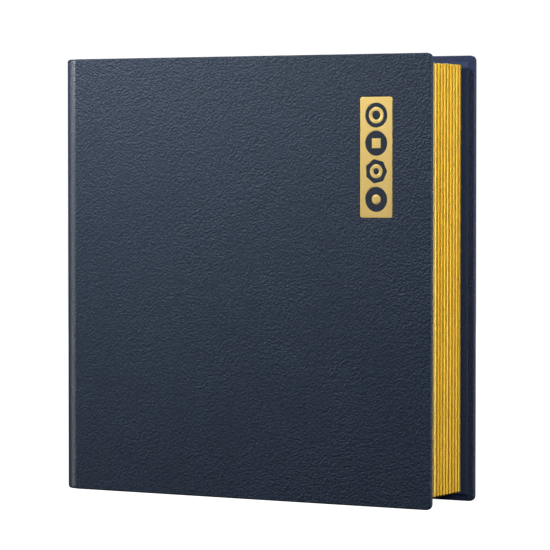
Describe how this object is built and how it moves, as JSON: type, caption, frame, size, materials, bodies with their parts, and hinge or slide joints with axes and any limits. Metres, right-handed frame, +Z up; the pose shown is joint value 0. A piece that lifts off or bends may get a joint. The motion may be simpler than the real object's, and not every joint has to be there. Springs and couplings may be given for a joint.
{
  "type": "coin album",
  "caption": "Upright coin album with leatherette case, gilt-edged pocket leaves and a ring binder inside the hinged covers.",
  "frame": {"origin": "middle of the footprint, on the surface that the tail edge stands on", "axes": "+Z up along the height, +X from the spine to the fore-edge, the front cover faces -Y"},
  "size_m": [0.222, 0.052, 0.23],
  "materials": {
    "leatherette": "navy pebbled leatherette, semi-matt",
    "greyboard": "plain grey board, hidden",
    "lining_paper": "navy embossed endpaper",
    "gold_foil": "satin gold hot-stamped foil with a bright rim",
    "label_navy": "navy, as the cover",
    "nickel_steel": "bright nickel plate",
    "blade_steel": "dull rolled steel",
    "gilt_card": "dark card with gilt edges",
    "clear_film": "clear PVC film, glossy",
    "strip_plastic": "dark flexible plastic"
  },
  "bodies": {
    "spine": {"spine_cover": "leatherette", "spine_board": "greyboard", "spine_lining": "lining_paper", "front_joint": "leatherette", "back_joint": "leatherette", "ring_base": "nickel_steel", "rivets": "nickel_steel"},
    "front": {"front_cover": "leatherette", "front_board": "greyboard", "front_lining": "lining_paper", "label_plate": "gold_foil", "label_symbols": "label_navy"},
    "back": {"back_cover": "leatherette", "back_board": "greyboard", "back_lining": "lining_paper"},
    "front_ring_set": {"front_blade": "blade_steel", "front_rings": "nickel_steel"},
    "rear_ring_set": {"rear_blade": "blade_steel", "rear_rings": "nickel_steel"},
    "upper_lever": {"upper_trigger": "nickel_steel"},
    "lower_lever": {"lower_trigger": "nickel_steel"},
    "leaf_1": {"page_1": "gilt_card", "windows_1": "clear_film", "binding_strip_1": "strip_plastic"},
    "leaf_2": {"page_2": "gilt_card", "windows_2": "clear_film", "binding_strip_2": "strip_plastic"},
    "leaf_3": {"page_3": "gilt_card", "windows_3": "clear_film", "binding_strip_3": "strip_plastic"},
    "leaf_4": {"page_4": "gilt_card", "windows_4": "clear_film", "binding_strip_4": "strip_plastic"},
    "leaf_5": {"page_5": "gilt_card", "windows_5": "clear_film", "binding_strip_5": "strip_plastic"},
    "leaf_6": {"page_6": "gilt_card", "windows_6": "clear_film", "binding_strip_6": "strip_plastic"},
    "leaf_7": {"page_7": "gilt_card", "windows_7": "clear_film", "binding_strip_7": "strip_plastic"},
    "leaf_8": {"page_8": "gilt_card", "windows_8": "clear_film", "binding_strip_8": "strip_plastic"},
    "leaf_9": {"page_9": "gilt_card", "windows_9": "clear_film", "binding_strip_9": "strip_plastic"},
    "leaf_10": {"page_10": "gilt_card", "windows_10": "clear_film", "binding_strip_10": "strip_plastic"},
    "leaf_11": {"page_11": "gilt_card", "windows_11": "clear_film", "binding_strip_11": "strip_plastic"},
    "leaf_12": {"page_12": "gilt_card", "windows_12": "clear_film", "binding_strip_12": "strip_plastic"}
  },
  "joints": [
    {"name": "front_cover_hinge", "type": "hinge", "parent": "spine", "child": "front", "pos_m": [-0.1091, -0.0241, 0], "axis": [0, 0, -1], "range_deg": [0, 100], "deforming": ["front_joint"]},
    {"name": "back_cover_hinge", "type": "hinge", "parent": "spine", "child": "back", "pos_m": [-0.1091, 0.0241, 0], "axis": [0, 0, 1], "range_deg": [0, 100], "deforming": ["back_joint"]},
    {"name": "ring_open", "type": "hinge", "parent": "spine", "child": "front_ring_set", "pos_m": [-0.105, -0.0084, 0.115], "axis": [0, 0, -1], "range_deg": [0, 5]},
    {"name": "rear_ring_open", "type": "hinge", "parent": "spine", "child": "rear_ring_set", "pos_m": [-0.105, 0.0084, 0.115], "axis": [0, 0, 1], "range_deg": [0, 5.1]},
    {"name": "lower_lever_press", "type": "hinge", "parent": "spine", "child": "lower_lever", "pos_m": [-0.1057, 0, 0.024], "axis": [0, 1, 0], "range_deg": [0, 20.5]},
    {"name": "upper_lever_press", "type": "hinge", "parent": "spine", "child": "upper_lever", "pos_m": [-0.1057, 0, 0.206], "axis": [0, -1, 0], "range_deg": [0, 20.5]},
    {"name": "leaf_1_turn", "type": "hinge", "parent": "spine", "child": "leaf_1", "pos_m": [-0.0865, 0, 0.115], "axis": [0, 0, -1], "range_deg": [0, 83.5]},
    {"name": "leaf_2_turn", "type": "hinge", "parent": "spine", "child": "leaf_2", "pos_m": [-0.0865, 0, 0.115], "axis": [0, 0, -1], "range_deg": [0, 68.5]},
    {"name": "leaf_3_turn", "type": "hinge", "parent": "spine", "child": "leaf_3", "pos_m": [-0.0865, 0, 0.115], "axis": [0, 0, -1], "range_deg": [0, 53.5]},
    {"name": "leaf_4_turn", "type": "hinge", "parent": "spine", "child": "leaf_4", "pos_m": [-0.0865, 0, 0.115], "axis": [0, 0, -1], "range_deg": [0, 38.5]},
    {"name": "leaf_5_turn", "type": "hinge", "parent": "spine", "child": "leaf_5", "pos_m": [-0.0865, 0, 0.115], "axis": [0, 0, -1], "range_deg": [0, 23.5]},
    {"name": "leaf_6_turn", "type": "hinge", "parent": "spine", "child": "leaf_6", "pos_m": [-0.0865, 0, 0.115], "axis": [0, 0, -1], "range_deg": [0, 8.5]},
    {"name": "leaf_7_turn", "type": "hinge", "parent": "spine", "child": "leaf_7", "pos_m": [-0.0865, 0, 0.115], "axis": [0, 0, 1], "range_deg": [0, 8.5]},
    {"name": "leaf_8_turn", "type": "hinge", "parent": "spine", "child": "leaf_8", "pos_m": [-0.0865, 0, 0.115], "axis": [0, 0, 1], "range_deg": [0, 23.5]},
    {"name": "leaf_9_turn", "type": "hinge", "parent": "spine", "child": "leaf_9", "pos_m": [-0.0865, 0, 0.115], "axis": [0, 0, 1], "range_deg": [0, 38.5]},
    {"name": "leaf_10_turn", "type": "hinge", "parent": "spine", "child": "leaf_10", "pos_m": [-0.0865, 0, 0.115], "axis": [0, 0, 1], "range_deg": [0, 53.5]},
    {"name": "leaf_11_turn", "type": "hinge", "parent": "spine", "child": "leaf_11", "pos_m": [-0.0865, 0, 0.115], "axis": [0, 0, 1], "range_deg": [0, 68.5]},
    {"name": "leaf_12_turn", "type": "hinge", "parent": "spine", "child": "leaf_12", "pos_m": [-0.0865, 0, 0.115], "axis": [0, 0, 1], "range_deg": [0, 83.5]}
  ],
  "couplings": [
    {"joint": "rear_ring_open", "follows": "ring_open", "ratio": 1},
    {"joint": "lower_lever_press", "follows": "ring_open", "ratio": 4},
    {"joint": "upper_lever_press", "follows": "ring_open", "ratio": 4},
    {"joint": "leaf_1_turn", "follows": "front_cover_hinge", "ratio": 0.825},
    {"joint": "leaf_2_turn", "follows": "front_cover_hinge", "ratio": 0.675},
    {"joint": "leaf_3_turn", "follows": "front_cover_hinge", "ratio": 0.525},
    {"joint": "leaf_4_turn", "follows": "front_cover_hinge", "ratio": 0.375},
    {"joint": "leaf_5_turn", "follows": "front_cover_hinge", "ratio": 0.225},
    {"joint": "leaf_6_turn", "follows": "front_cover_hinge", "ratio": 0.075},
    {"joint": "leaf_7_turn", "follows": "back_cover_hinge", "ratio": 0.075},
    {"joint": "leaf_8_turn", "follows": "back_cover_hinge", "ratio": 0.225},
    {"joint": "leaf_9_turn", "follows": "back_cover_hinge", "ratio": 0.375},
    {"joint": "leaf_10_turn", "follows": "back_cover_hinge", "ratio": 0.525},
    {"joint": "leaf_11_turn", "follows": "back_cover_hinge", "ratio": 0.675},
    {"joint": "leaf_12_turn", "follows": "back_cover_hinge", "ratio": 0.825}
  ]
}
